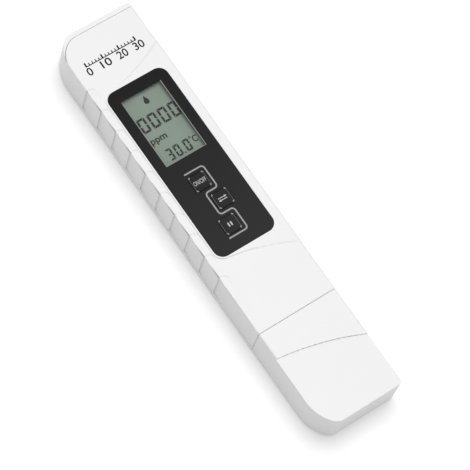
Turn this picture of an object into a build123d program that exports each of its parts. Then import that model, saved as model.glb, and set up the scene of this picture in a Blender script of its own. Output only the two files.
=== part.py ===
from build123d import *
from math import atan2, degrees
import os

os.makedirs("parts", exist_ok=True)

# Pen-shaped water tester lying on its back: X across, Y toward the top end, Z out of the display.
# The rear face stands on Z = 0 and the case is centred on X and Y. All sizes are in millimetres.

# Case
case_length = 154.0
case_width = 30.0
side_wall = 1.6
face_wall = 1.3
rear_floor = 1.6
rear_seam = 2.4
cap_length = 37.0
corner_width = 7.0
corner_length = 11.0
corner_end_radius = 4.6
small_corner = 1.4
front_edge_radius = 0.6
right_edge_radius = 1.4
rear_edge_radius = 1.2
seam_chamfer = 0.2
lip_thickness = 1.0
lip_height = 2.4

# Levels of the front: raised field round the panel, plain face, ledge along the ends
field_step = 0.3
ledge_step = 0.4
ledge_width = 2.0
ledge_corner_width = 8.0
ledge_corner_length = 9.0
ledge_end_radius = 7.0
swoosh_rise_mid = 2.6
swoosh_rise_edge = 7.4
swoosh_slope_mid = 0.6
swoosh_slope_edge = 1.3
cap_step_drop = 18.3
cap_step_rise_mid = 5.8
cap_step_rise_left = 8.8

# Panel, display and keys
panel_side = 3.5
panel_length = 65.8
panel_middle_y = 19.6
panel_corner = 3.4
panel_rim = 0.5
overlay_thickness = 0.5
display_width = 15.6
display_length = 26.4
display_offset = 15.4
lens_flange = 0.5
lens_overlap = 1.5
lens_seat = 0.8
key_width = 6.0
key_length = 6.0
key_corner = 0.9
key_proud = 0.25
key_pitch = 8.5
key_stagger = 1.5
key_offset = 15.9
key_gap = 0.12
key_flange_overlap = 0.7
key_flange_thickness = 0.6
key_travel = 0.4

# Grip scallops down the left side
grip_count = 10
grip_pitch = 8.35
grip_first_offset = 37.6
grip_depth = 0.45
grip_front_depth = 0.12
grip_ramp = 6.6
grip_corner = 1.6
grip_end_gap = 0.2

# Batteries, tray and sliding door
cell_radius = 5.8
cell_height = 5.4
cell_gap = 0.9
cell_end_distance = 15.0
cell_cap_radius = 4.7
cell_cap_height = 0.35
cell_edge = 0.5
contact_width = 8.0
contact_length = 9.0
contact_thickness = 0.25
contact_press = 0.3
contact_dimple = 1.6
bridge_width = 6.0
tray_wall = 1.2
tray_gap = 0.55
bay_wall = 2.8
deck_thickness = 1.0
door_side = 5.6
door_overlap = 1.6
door_inset = 0.15
door_thickness = 1.35
rail_depth = 0.8
rail_height = 0.5
door_grip_count = 5
door_grip_pitch = 1.6
door_grip_length = 11.0
door_grip_width = 0.8
door_grip_depth = 0.45
door_grip_distance = 12.0

# Board and display stack
board_thickness = 1.0
display_room = 4.8
board_side = 4.0
board_end_distance = 7.5
board_corner = 1.5
board_probe_gap = 1.0
glass_border = 1.95
glass_end_border = 2.3
contact_ledge = 2.2
glass_thickness = 0.7
reflector_thickness = 0.2
frame_wall = 0.7
frame_seat = 1.0
zebra_width = 1.9
switch_size = 6.0
switch_height = 3.1
switch_corner = 0.5
switch_stem_radius = 1.6
switch_stem_depth = 0.9
blob_radius = 4.2
blob_height = 1.3
blob_gap = 0.5
crystal_radius = 1.0
crystal_length = 6.0
memory_width = 5.0
memory_length = 6.2
passive_width = 1.3
passive_length = 2.1
passive_height = 1.1
passive_pitch = 4.0

# Screws
case_screw_head = 1.9
case_screw_head_height = 0.85
case_screw_shank = 1.0
case_screw_length = 8.5
case_screw_cross = 2.2
case_screw_cross_width = 0.5
case_boss_radius = 2.2
case_screw_drop = 3.6
case_screw_inset = 1.0
board_screw_head = 1.4
board_screw_head_height = 0.9
board_screw_shank = 0.7
board_screw_length = 3.2
board_post_radius = 1.7
board_post_gap = 1.5
board_post_distance = 5.0

# Probe
collar_length = 12.0
neck_length = 10.0
neck_edge = 1.0
probe_length = 28.0
tip_width = 18.0
tip_depth = 8.6
tip_edge = 1.6
tip_taper = 3.0
cup_depth = 9.0
cup_wall = 1.4
cup_edge = 1.0
cup_slot_width = 6.0
electrode_radius = 0.9
electrode_spacing = 8.4
electrode_reach = 7.0
sensor_radius = 1.2
sensor_reach = 5.5
pin_tail_radius = 0.6
pin_tail_length = 5.0
seal_width = 1.4
seal_depth = 0.8
seal_distance = 5.0

clearance = 0.1
slide_clearance = 0.2
fine_clearance = 0.05
overrun = 1.0

# Worked out from the sizes above: plan
half_width = case_width / 2
half_length = case_length / 2
inner_half_width = half_width - side_wall
inner_half_length = half_length - side_wall
cap_seam_y = -half_length + cap_length
panel_width = case_width - 2 * panel_side
board_width = case_width - 2 * board_side
door_width = case_width - 2 * door_side
display_middle_y = panel_middle_y + display_offset
shift_key_y = panel_middle_y - key_offset
overlay_width = panel_width - 2 * clearance
overlay_length = panel_length - 2 * clearance
lens_width = display_width + 2 * lens_overlap
lens_length = display_length + 2 * lens_overlap
glass_width = display_width + 2 * glass_border
glass_length = display_length + 2 * glass_end_border
rear_glass_length = glass_length - 2 * contact_ledge
frame_length = glass_length + 2 * clearance + 2 * frame_wall
board_upper_end = half_length - board_end_distance
collar_upper_end = cap_seam_y + collar_length
board_lower_end = collar_upper_end + board_probe_gap
cell_spacing = 2 * cell_radius + cell_gap
cell_upper_y = half_length - cell_end_distance
cell_lower_y = cell_upper_y - cell_spacing
door_lower_end = cell_lower_y - cell_radius - door_overlap
probe_tip_y = cap_seam_y - probe_length
seal_middle_y = cap_seam_y - seal_distance

# Worked out from the sizes above: heights, stacked up from the rear to the face
door_top = door_inset + door_thickness
bay_base = door_top + contact_thickness + clearance
cell_base = bay_base + fine_clearance
cell_top = cell_base + cell_height
board_base = cell_top + contact_press
board_top = board_base + board_thickness
inner_face = board_top + display_room
face_top = inner_face + face_wall
ledge_top = face_top - ledge_step
case_depth = face_top + field_step
panel_floor = case_depth - overlay_thickness
lens_floor = panel_floor - lens_flange
glass_top = inner_face - clearance
front_glass_base = glass_top - glass_thickness
rear_glass_base = front_glass_base - glass_thickness
reflector_base = rear_glass_base - reflector_thickness
key_flange_top = inner_face - clearance
key_flange_base = key_flange_top - key_flange_thickness
switch_top = board_top + switch_height
cap_top = face_top - side_wall
neck_width = 2 * (inner_half_width - slide_clearance)
neck_base = rear_floor + slide_clearance
neck_top = cap_top - slide_clearance
neck_middle_z = (neck_base + neck_top) / 2
groove_width = neck_width - 2 * seal_depth
groove_depth = neck_top - neck_base - 2 * seal_depth
collar_top = inner_face - slide_clearance
pin_axis_height = board_base - pin_tail_radius - fine_clearance

# Places of the screws and keys
case_boss_x = inner_half_width - case_boss_radius - slide_clearance
middle_screw_y = panel_middle_y - case_screw_drop
collar_screw_y = cap_seam_y + collar_length / 2
case_screw_places = [
    (case_boss_x, middle_screw_y),
    (-case_boss_x, middle_screw_y),
    (case_boss_x - case_screw_inset, collar_screw_y),
    (case_screw_inset - case_boss_x, collar_screw_y),
]
board_post_x = board_width / 2 - board_post_radius
upper_post_y = display_middle_y + frame_length / 2 + board_post_radius + board_post_gap
lower_post_y = board_lower_end + board_post_distance
board_screw_places = [
    (board_post_x, upper_post_y),
    (-board_post_x, upper_post_y),
    (board_post_x, lower_post_y),
    (-board_post_x, lower_post_y),
]
key_places = {
    "on_off": (-key_stagger, shift_key_y + key_pitch),
    "shift": (key_stagger, shift_key_y),
    "hold": (-key_stagger, shift_key_y - key_pitch),
}


# Plan outlines
def plan_outline(half_x, half_y, corner_x, corner_y, end_radius, small_radius):
    """Case seen from the front: on the left two long corners, each of two arcs, on the right two small ones."""
    side_radius = (corner_x**2 + corner_y**2 - 2 * corner_y * end_radius) / (2 * (corner_x - end_radius))
    turn = degrees(atan2(side_radius - corner_x, corner_y - end_radius))
    with BuildSketch() as outline:
        with BuildLine():
            upper_end = JernArc((corner_x - half_x, half_y), (-1, 0), end_radius, turn)
            upper_side = JernArc(upper_end @ 1, upper_end % 1, side_radius, 90 - turn)
            side = Line(upper_side @ 1, (-half_x, corner_y - half_y))
            lower_side = JernArc(side @ 1, side % 1, side_radius, 90 - turn)
            lower_end = JernArc(lower_side @ 1, lower_side % 1, end_radius, turn)
            Polyline(lower_end @ 1, (half_x, -half_y), (half_x, half_y), upper_end @ 0)
        make_face()
        fillet(outline.vertices().group_by(Axis.X)[-1], small_radius)
    return outline.sketch


def field_outline(slope_mid, slope_edge):
    """Raised field: close round the panel on the left, sweeping out to the right side."""
    left = -panel_width / 2 - panel_rim
    right = half_width + overrun
    top = panel_length / 2 + panel_rim
    bend = left + panel_corner + panel_rim
    middle = (bend + right) / 2
    mid_rise = swoosh_rise_mid + slope_mid
    edge_rise = swoosh_rise_edge + slope_edge
    with BuildSketch() as outline:
        with BuildLine():
            Line((left, -top), (left, top))
            Line((left, top), (bend, top))
            ThreePointArc((bend, top), (middle, top + mid_rise), (right, top + edge_rise))
            Line((right, top + edge_rise), (right, -top - edge_rise))
            ThreePointArc((right, -top - edge_rise), (middle, -top - mid_rise), (bend, -top))
            Line((bend, -top), (left, -top))
        make_face()
        fillet(outline.vertices().group_by(Axis.X)[0], panel_corner + panel_rim - clearance)
    return outline.sketch.moved(Location((0, panel_middle_y, 0)))


def inset_outline(inset):
    """Plan of the case set in from its sides by an even distance."""
    return plan_outline(
        half_width - inset,
        half_length - inset,
        corner_width - inset,
        corner_length - inset,
        corner_end_radius - inset,
        small_corner,
    )


case_outline = inset_outline(0)
inner_outline = inset_outline(side_wall)
lip_outline = inset_outline(side_wall + clearance)
lip_inner_outline = inset_outline(side_wall + clearance + lip_thickness)
face_half_length = half_length - ledge_width
face_outline = plan_outline(
    half_width, face_half_length, ledge_corner_width, ledge_corner_length, ledge_end_radius, small_corner
)


def outer_form(top):
    """Case outline raised to a height: small front edges, a larger one along the right side."""
    with BuildSketch() as section:
        Rectangle(case_width, top, align=(Align.CENTER, Align.MIN))
        fillet(section.vertices().group_by(Axis.X)[-1].group_by(Axis.Y)[-1], right_edge_radius)
    with BuildPart() as form:
        with BuildSketch():
            add(case_outline)
        extrude(amount=top)
        fillet(form.edges().group_by(Axis.Z)[-1], front_edge_radius)
        with BuildSketch(Plane.XZ.offset(half_length)):
            add(section.sketch)
        extrude(amount=-case_length, mode=Mode.INTERSECT)
    return form.part


# Outer form of the closed pen, shared by the front shell, rear cover, battery door and cap
with BuildPart() as panel_field:
    with BuildSketch(Plane.XY.offset(rear_seam)):
        add(field_outline(swoosh_slope_mid, swoosh_slope_edge))
    extrude(amount=face_top - rear_seam)
    with BuildSketch(Plane.XY.offset(face_top)):
        add(field_outline(swoosh_slope_mid, swoosh_slope_edge))
    with BuildSketch(Plane.XY.offset(case_depth)):
        add(field_outline(0, 0))
    loft(ruled=True)
    add(outer_form(case_depth), mode=Mode.INTERSECT)

with BuildPart() as case_form:
    add(outer_form(face_top))
    fillet(case_form.edges().group_by(Axis.Z)[0], rear_edge_radius)
    with BuildSketch(Plane.XY.offset(ledge_top)):
        Rectangle(case_width, case_length)
        add(face_outline, mode=Mode.SUBTRACT)
    extrude(amount=ledge_step, mode=Mode.SUBTRACT)
    add(panel_field.part)


# The same form parted where the cap meets the body
with BuildPart() as body_form:
    add(case_form.part)
    split(bisect_by=Plane.XZ.offset(-cap_seam_y), keep=Keep.BOTTOM)
    chamfer(body_form.edges().group_by(Axis.Y)[0], seam_chamfer)

with BuildPart() as cap_form:
    add(case_form.part)
    split(bisect_by=Plane.XZ.offset(clearance - cap_seam_y), keep=Keep.TOP)
    chamfer(cap_form.edges().group_by(Axis.Y)[-1], seam_chamfer)


# One grip scallop at Y = 0: deepest at its upper end, running out toward the tip
grip_end_x = -panel_width / 2 - panel_rim - grip_end_gap


def grip_section(depth, front_depth):
    """Everything outside the left front edge of the case, set in by one depth on each face."""
    outside = -half_width - overrun
    with BuildSketch() as section:
        with BuildLine():
            Polyline(
                (outside, rear_seam),
                (-half_width + depth, rear_seam),
                (-half_width + depth, face_top - front_depth),
                (grip_end_x, face_top - front_depth),
                (grip_end_x, face_top + overrun),
                (outside, face_top + overrun),
                close=True,
            )
        make_face()
    return section.sketch


with BuildPart() as grip_cut:
    with BuildSketch(Plane.XZ):
        add(grip_section(grip_depth, grip_front_depth))
    with BuildSketch(Plane.XZ.offset(grip_ramp)):
        add(grip_section(-fine_clearance, -fine_clearance))
    loft(ruled=True)
    with BuildSketch() as grip_plan:
        with Locations((grip_end_x, 0)):
            Rectangle(case_width, 2 * grip_ramp, align=(Align.MAX, Align.MAX))
        fillet(grip_plan.vertices().group_by(Axis.X)[-1].group_by(Axis.Y)[-1], grip_corner)
    extrude(amount=case_depth, mode=Mode.INTERSECT)

# Front shell: deep tub that carries the panel, the board and all four case screws
with BuildPart() as front_shell:
    add(body_form.part)
    split(bisect_by=Plane.XY.offset(rear_seam), keep=Keep.TOP)
    for count in range(grip_count):
        with Locations((0, panel_middle_y + grip_first_offset - count * grip_pitch, 0)):
            add(grip_cut.part, mode=Mode.SUBTRACT)
    with BuildSketch(Plane.XY.offset(rear_seam)):
        add(inner_outline)
    extrude(amount=inner_face - rear_seam, mode=Mode.SUBTRACT)
    with BuildSketch(Plane.XY.offset(panel_floor)):
        with Locations((0, panel_middle_y)):
            RectangleRounded(panel_width, panel_length, panel_corner)
    extrude(amount=field_step + overrun, mode=Mode.SUBTRACT)
    with BuildSketch(Plane.XY.offset(lens_floor)):
        with Locations((0, display_middle_y)):
            Rectangle(lens_width + 2 * clearance, lens_length + 2 * clearance)
    extrude(amount=case_depth, mode=Mode.SUBTRACT)
    with BuildSketch(Plane.XY.offset(board_top)):
        with Locations((0, display_middle_y)):
            Rectangle(display_width + 2 * lens_seat, display_length + 2 * lens_seat)
    extrude(amount=case_depth, mode=Mode.SUBTRACT)
    with BuildSketch(Plane.XY.offset(board_top)):
        with Locations(*key_places.values()):
            RectangleRounded(key_width + 2 * key_gap, key_length + 2 * key_gap, key_corner + key_gap)
    extrude(amount=case_depth, mode=Mode.SUBTRACT)
    with BuildSketch(Plane.XY.offset(rear_seam + 2 * slide_clearance)):
        with Locations(*case_screw_places):
            Circle(case_boss_radius)
            Circle(case_screw_shank + fine_clearance, mode=Mode.SUBTRACT)
    extrude(amount=inner_face - rear_seam - 2 * slide_clearance)
    with BuildSketch(Plane.XY.offset(board_top)):
        with Locations(*board_screw_places):
            Circle(board_post_radius)
            Circle(board_screw_shank + fine_clearance, mode=Mode.SUBTRACT)
    extrude(amount=inner_face - board_top)
front_shell.part.label = "front_shell"
export_step(front_shell.part, "parts/front_shell.step")

# Battery door: its end wall is the middle of the top end's rear rim
door_end_wall_y = inner_half_length + clearance
with BuildPart() as battery_door:
    with BuildSketch(Plane.XY.offset(door_inset)):
        with Locations((0, door_lower_end)):
            Rectangle(door_width, half_length - door_lower_end, align=(Align.CENTER, Align.MIN))
    extrude(amount=door_thickness)
    with BuildSketch(Plane.XY.offset(door_inset)):
        with Locations((0, door_end_wall_y)):
            Rectangle(door_width, half_length - door_end_wall_y, align=(Align.CENTER, Align.MIN))
    extrude(amount=rear_seam - clearance - door_inset)
    with BuildSketch(Plane.XY.offset(door_inset + rail_height)):
        with Locations((0, door_lower_end)):
            Rectangle(
                door_width + 2 * (rail_depth - clearance),
                inner_half_length - door_lower_end,
                align=(Align.CENTER, Align.MIN),
            )
    extrude(amount=rail_height - clearance)
    add(case_form.part, mode=Mode.INTERSECT)
    with BuildSketch():
        with Locations((0, half_length - door_grip_distance)):
            with GridLocations(0, door_grip_pitch, 1, door_grip_count):
                Rectangle(door_grip_length, door_grip_width)
    extrude(amount=door_inset + door_grip_depth, mode=Mode.SUBTRACT)
battery_door.part.label = "battery_door"
export_step(battery_door.part, "parts/battery_door.step")

# Rear cover: shallow back with a locating lip, the battery bay and seats for the case screws
bay_lower_end = door_lower_end - clearance - lip_thickness
bay_width = door_width + 2 * bay_wall
tray_middle_y = (cell_upper_y + cell_lower_y) / 2
tray_inner = cell_radius + slide_clearance
with BuildPart() as rear_cover:
    add(body_form.part)
    split(bisect_by=Plane.XY.offset(rear_seam), keep=Keep.BOTTOM)
    chamfer(rear_cover.edges().group_by(Axis.Z)[-1], seam_chamfer)
    with BuildSketch(Plane.XY.offset(rear_floor)):
        add(inner_outline)
    extrude(amount=rear_seam, mode=Mode.SUBTRACT)
    with BuildSketch(Plane.XY.offset(rear_floor)):
        add(lip_outline)
        add(lip_inner_outline, mode=Mode.SUBTRACT)
        with Locations((0, board_lower_end)):
            Rectangle(case_width, case_length, align=(Align.CENTER, Align.MAX), mode=Mode.SUBTRACT)
    extrude(amount=lip_height)
    with BuildSketch(Plane.XY.offset(rear_floor)):
        add(lip_outline)
        with Locations((0, bay_lower_end)):
            Rectangle(bay_width, case_length, align=(Align.CENTER, Align.MIN), mode=Mode.INTERSECT)
    extrude(amount=bay_base + deck_thickness - rear_floor)
    with BuildSketch():
        with Locations((0, door_lower_end - clearance)):
            Rectangle(door_width + 2 * clearance, case_length, align=(Align.CENTER, Align.MIN))
    extrude(amount=bay_base, mode=Mode.SUBTRACT)
    with BuildSketch():
        with Locations((0, door_end_wall_y - clearance)):
            Rectangle(door_width + 2 * clearance, case_length, align=(Align.CENTER, Align.MIN))
    extrude(amount=rear_seam, mode=Mode.SUBTRACT)
    with BuildSketch(Plane.XY.offset(door_inset + rail_height - clearance)):
        with Locations((0, door_lower_end - clearance)):
            Rectangle(door_width + 2 * rail_depth, case_length, align=(Align.CENTER, Align.MIN))
    extrude(amount=rail_height + clearance, mode=Mode.SUBTRACT)
    with BuildSketch(Plane.XY.offset(bay_base)):
        with Locations((0, tray_middle_y)):
            SlotCenterToCenter(cell_spacing, 2 * tray_inner + 2 * tray_wall, rotation=90)
    extrude(amount=board_base - tray_gap - bay_base)
    with BuildSketch():
        with Locations((0, tray_middle_y)):
            SlotCenterToCenter(cell_spacing, 2 * tray_inner, rotation=90)
    extrude(amount=board_base, mode=Mode.SUBTRACT)
    with BuildSketch(Plane.XY.offset(rear_floor)):
        with Locations(*case_screw_places):
            Circle(case_boss_radius + 3 * slide_clearance)
    extrude(amount=case_depth, mode=Mode.SUBTRACT)
    with BuildSketch(Plane.XY.offset(rear_floor)):
        with Locations(*case_screw_places):
            Circle(case_boss_radius)
    extrude(amount=rear_seam + slide_clearance - rear_floor)
    with Locations(*case_screw_places):
        with Locations(Location((0, 0, 0), (180, 0, 0))):
            CounterBoreHole(
                case_screw_shank + clearance,
                case_screw_head + clearance,
                case_screw_head_height + door_inset,
                depth=case_depth,
            )
rear_cover.part.label = "rear_cover"
export_step(rear_cover.part, "parts/rear_cover.step")

# Probe cap: closed tip of the case form with a shallow step across its front
with BuildPart() as probe_cap:
    add(cap_form.part)
    with BuildSketch(Plane.XY.offset(ledge_top)):
        with BuildLine():
            step_end = Vector(half_width + overrun, cap_seam_y - cap_step_drop)
            step_middle = Vector(0, step_end.Y + cap_step_rise_mid)
            step_start = Vector(-step_end.X, step_end.Y + cap_step_rise_left)
            ThreePointArc(step_start, step_middle, step_end)
            Polyline(step_end, (step_end.X, -half_length), (step_start.X, -half_length), step_start)
        make_face()
    extrude(amount=overrun, mode=Mode.SUBTRACT)
    with BuildSketch(Plane.XY.offset(rear_floor)):
        add(inner_outline)
    extrude(amount=cap_top - rear_floor, mode=Mode.SUBTRACT)
probe_cap.part.label = "probe_cap"
export_step(probe_cap.part, "parts/probe_cap.step")

# Panel overlay: thin black sheet with a display opening and three key openings
with BuildPart() as panel_overlay:
    with BuildSketch(Plane.XY.offset(panel_floor)):
        with Locations((0, panel_middle_y)):
            RectangleRounded(overlay_width, overlay_length, panel_corner - clearance)
        with Locations((0, display_middle_y)):
            Rectangle(display_width, display_length, mode=Mode.SUBTRACT)
        with Locations(*key_places.values()):
            RectangleRounded(
                key_width + 2 * key_gap, key_length + 2 * key_gap, key_corner + key_gap, mode=Mode.SUBTRACT
            )
    extrude(amount=overlay_thickness)
panel_overlay.part.label = "panel_overlay"
export_step(panel_overlay.part, "parts/panel_overlay.step")

# Display window: clear lens, flanged under the overlay and flush with its face
with BuildPart() as display_window:
    with BuildSketch(Plane.XY.offset(lens_floor)):
        with Locations((0, display_middle_y)):
            Rectangle(lens_width, lens_length)
    extrude(amount=lens_flange)
    with BuildSketch(Plane.XY.offset(panel_floor)):
        with Locations((0, display_middle_y)):
            Rectangle(display_width - clearance, display_length - clearance)
    extrude(amount=overlay_thickness)
display_window.part.label = "display_window"
export_step(display_window.part, "parts/display_window.step")

# Keys with their switches: pad through the shell, flange inside, switch stem in contact below
for name, (key_x, key_y) in key_places.items():
    with BuildPart() as key:
        with BuildSketch(Plane.XY.offset(key_flange_base)):
            with Locations((key_x, key_y)):
                Rectangle(key_width + 2 * key_flange_overlap, key_length + 2 * key_flange_overlap)
        extrude(amount=key_flange_thickness)
        with BuildSketch(Plane.XY.offset(key_flange_top)):
            with Locations((key_x, key_y)):
                RectangleRounded(key_width, key_length, key_corner)
        extrude(amount=case_depth + key_proud - key_flange_top)
        chamfer(key.edges().group_by(Axis.Z)[-1], key_proud)
    key.part.label = f"{name}_key"
    export_step(key.part, f"parts/{name}_key.step")

    with BuildPart() as switch_stem:
        with BuildSketch(Plane.XY.offset(switch_top - switch_stem_depth)):
            with Locations((key_x, key_y)):
                Circle(switch_stem_radius)
        extrude(amount=key_flange_base - switch_top + switch_stem_depth)
    switch_stem.part.label = f"{name}_switch_stem"
    export_step(switch_stem.part, f"parts/{name}_switch_stem.step")

    with BuildPart() as switch_body:
        with BuildSketch(Plane.XY.offset(board_top)):
            with Locations((key_x, key_y)):
                Rectangle(switch_size, switch_size)
        extrude(amount=switch_height)
        chamfer(switch_body.edges().filter_by(Axis.Z), switch_corner)
        with BuildSketch(Plane.XY.offset(switch_top)):
            with Locations((key_x, key_y)):
                Circle(switch_stem_radius + clearance)
        extrude(amount=-switch_stem_depth - 2 * key_travel, mode=Mode.SUBTRACT)
    switch_body.part.label = f"{name}_switch"
    export_step(switch_body.part, f"parts/{name}_switch.step")

# Main board with notches for the case screw bosses
with BuildPart() as main_board:
    with BuildSketch(Plane.XY.offset(board_base)) as board_plan:
        with Locations((0, board_lower_end)):
            Rectangle(board_width, board_upper_end - board_lower_end, align=(Align.CENTER, Align.MIN))
        chamfer(board_plan.vertices(), board_corner)
        with Locations(*case_screw_places):
            Circle(case_boss_radius + 2 * slide_clearance, mode=Mode.SUBTRACT)
        with Locations(*board_screw_places):
            Circle(board_screw_shank + clearance, mode=Mode.SUBTRACT)
    extrude(amount=board_thickness)
main_board.part.label = "main_board"
export_step(main_board.part, "parts/main_board.step")

# Display stack on the board: frame, reflector, two glasses and the contact strips
with BuildPart() as lcd_frame:
    with BuildSketch(Plane.XY.offset(board_top)):
        with Locations((0, display_middle_y)):
            Rectangle(glass_width + 2 * clearance + 2 * frame_wall, frame_length)
            Rectangle(glass_width - 2 * frame_seat, glass_length + 2 * clearance, mode=Mode.SUBTRACT)
    extrude(amount=glass_top - board_top)
    with BuildSketch(Plane.XY.offset(reflector_base)):
        with Locations((0, display_middle_y)):
            Rectangle(glass_width + 2 * clearance, glass_length + 2 * clearance)
    extrude(amount=case_depth, mode=Mode.SUBTRACT)
lcd_frame.part.label = "lcd_frame"
export_step(lcd_frame.part, "parts/lcd_frame.step")

display_sheets = {
    "lcd_reflector": (reflector_base, reflector_thickness, rear_glass_length),
    "lcd_rear_glass": (rear_glass_base, glass_thickness, rear_glass_length),
    "lcd_front_glass": (front_glass_base, glass_thickness, glass_length),
}
for name, (base, thickness, length) in display_sheets.items():
    with BuildPart() as sheet:
        with BuildSketch(Plane.XY.offset(base)):
            with Locations((0, display_middle_y)):
                Rectangle(glass_width, length)
        extrude(amount=thickness)
    sheet.part.label = name
    export_step(sheet.part, f"parts/{name}.step")

zebra_offset = (glass_length - zebra_width) / 2 - clearance
with BuildPart() as zebra_strips:
    with BuildSketch(Plane.XY.offset(board_top)):
        with Locations((0, display_middle_y + zebra_offset), (0, display_middle_y - zebra_offset)):
            Rectangle(glass_width - 2 * frame_seat - 2 * clearance, zebra_width)
    extrude(amount=front_glass_base - board_top)
zebra_strips.part.label = "zebra_strips"
export_step(zebra_strips.part, "parts/zebra_strips.step")

# Parts soldered to the rear of the board, between the display and the lower end
with BuildPart() as controller_chip:
    with BuildSketch(Plane.XY.offset(board_base)):
        with Locations((0, middle_screw_y + case_boss_radius + blob_gap + blob_radius)):
            Circle(blob_radius)
    extrude(amount=-blob_height)
controller_chip.part.label = "controller_chip"
export_step(controller_chip.part, "parts/controller_chip.step")

with BuildPart() as crystal:
    with BuildSketch(Plane.XZ.offset(-shift_key_y)):
        with Locations((board_width / 4, board_base - crystal_radius)):
            Circle(crystal_radius)
    extrude(amount=crystal_length)
crystal.part.label = "crystal"
export_step(crystal.part, "parts/crystal.step")

with BuildPart() as board_components:
    with BuildSketch(Plane.XY.offset(board_base)):
        with Locations(*[(0, shift_key_y + row * key_pitch) for row in (1, -1, -2)]):
            with GridLocations(passive_pitch, 0, 4, 1):
                Rectangle(passive_width, passive_length)
        with Locations((-board_width / 4, shift_key_y)):
            Rectangle(memory_width, memory_length)
    extrude(amount=-passive_height)
board_components.part.label = "board_components"
export_step(board_components.part, "parts/board_components.step")

# Button cells: can with a stepped cap, both with the can toward the board
for name, cell_y in {"upper_button_cell": cell_upper_y, "lower_button_cell": cell_lower_y}.items():
    with BuildPart() as cell:
        with BuildSketch(Plane.XY.offset(cell_base)):
            with Locations((0, cell_y)):
                Circle(cell_cap_radius)
        extrude(amount=cell_cap_height)
        with BuildSketch(Plane.XY.offset(cell_base + cell_cap_height)):
            with Locations((0, cell_y)):
                Circle(cell_radius)
        extrude(amount=cell_height - cell_cap_height)
        chamfer(cell.edges().group_by(Axis.Z)[-1], cell_edge)
    cell.part.label = name
    export_step(cell.part, f"parts/{name}.step")

# Battery contacts: one pressed plate on the board for each cell, one bridge on the door
contact_places = {"battery_contact_positive": cell_upper_y, "battery_contact_negative": cell_lower_y}
for name, contact_y in contact_places.items():
    with BuildPart() as contact:
        with BuildSketch(Plane.XY.offset(board_base)):
            with Locations((0, contact_y)):
                Rectangle(contact_width, contact_length)
        extrude(amount=-contact_press / 2)
        with BuildSketch(Plane.XY.offset(cell_top)):
            with Locations((0, contact_y)):
                Circle(contact_dimple)
        extrude(amount=contact_press / 2)
    contact.part.label = name
    export_step(contact.part, f"parts/{name}.step")

with BuildPart() as battery_bridge_contact:
    with BuildSketch(Plane.XY.offset(door_top)):
        with Locations((0, tray_middle_y)):
            SlotCenterToCenter(cell_spacing, bridge_width, rotation=90)
    extrude(amount=contact_thickness)
battery_bridge_contact.part.label = "battery_bridge_contact"
export_step(battery_bridge_contact.part, "parts/battery_bridge_contact.step")

# Probe block: collar held by the lower case screws, neck for the cap, open cup round the pins
with BuildPart() as probe_block:
    with BuildSketch(Plane.XZ.offset(-collar_upper_end)):
        with Locations((0, (neck_base + collar_top) / 2)):
            RectangleRounded(neck_width, collar_top - neck_base, neck_edge)
    extrude(amount=collar_upper_end - cap_seam_y)
    with BuildSketch(Plane.XZ.offset(-cap_seam_y)):
        with Locations((0, neck_middle_z)):
            RectangleRounded(neck_width, neck_top - neck_base, neck_edge)
    extrude(amount=neck_length)
    with BuildSketch(Plane.XZ.offset(-cap_seam_y + neck_length)):
        with Locations((0, pin_axis_height)):
            RectangleRounded(tip_width + tip_taper, tip_depth + tip_taper / 2, tip_edge)
    with BuildSketch(Plane.XZ.offset(-probe_tip_y)):
        with Locations((0, pin_axis_height)):
            RectangleRounded(tip_width, tip_depth, tip_edge)
    loft(ruled=True)
    with BuildSketch(Plane.XZ.offset(-probe_tip_y)):
        with Locations((0, pin_axis_height)):
            RectangleRounded(tip_width - 2 * cup_wall, tip_depth - 2 * cup_wall, cup_edge)
    extrude(amount=-cup_depth, mode=Mode.SUBTRACT)
    with BuildSketch():
        with Locations((0, probe_tip_y)):
            SlotOverall(2 * (cup_depth - cup_wall), cup_slot_width, rotation=90)
    extrude(amount=case_depth, mode=Mode.SUBTRACT)
    with BuildSketch(Plane.XZ.offset(-seal_middle_y - seal_width / 2 - clearance / 2)):
        with Locations((0, neck_middle_z)):
            Rectangle(case_width, case_depth)
            RectangleRounded(groove_width, groove_depth, neck_edge, mode=Mode.SUBTRACT)
    extrude(amount=seal_width + clearance, mode=Mode.SUBTRACT)
    with BuildSketch():
        with Locations(*[place for place in case_screw_places if place[1] < board_lower_end]):
            Circle(case_boss_radius + slide_clearance)
    extrude(amount=case_depth, mode=Mode.SUBTRACT)
    with BuildSketch(Plane.XZ.offset(-collar_upper_end)):
        with Locations((electrode_spacing / 2, pin_axis_height), (-electrode_spacing / 2, pin_axis_height)):
            Circle(pin_tail_radius)
        with Locations((0, pin_axis_height)):
            Circle(pin_tail_radius)
    extrude(amount=collar_upper_end - probe_tip_y, mode=Mode.SUBTRACT)
probe_block.part.label = "probe_block"
export_step(probe_block.part, "parts/probe_block.step")

# Pins: a thin tail through the block to the board, a thicker head standing in the cup
cup_floor_y = probe_tip_y + cup_depth
tail_end_y = collar_upper_end + pin_tail_length
probe_pins = {
    "electrode_left": (-electrode_spacing / 2, electrode_radius, electrode_reach),
    "electrode_right": (electrode_spacing / 2, electrode_radius, electrode_reach),
    "temperature_sensor": (0, sensor_radius, sensor_reach),
}
for name, (pin_x, pin_radius, pin_reach) in probe_pins.items():
    with BuildPart() as pin:
        with BuildSketch(Plane.XZ.offset(-tail_end_y)):
            with Locations((pin_x, pin_axis_height)):
                Circle(pin_tail_radius)
        extrude(amount=tail_end_y - cup_floor_y)
        with BuildSketch(Plane.XZ.offset(-cup_floor_y)):
            with Locations((pin_x, pin_axis_height)):
                Circle(pin_radius)
        extrude(amount=pin_reach)
        chamfer(pin.edges().group_by(Axis.Y)[0], pin_radius / 2)
    pin.part.label = name
    export_step(pin.part, f"parts/{name}.step")

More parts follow.
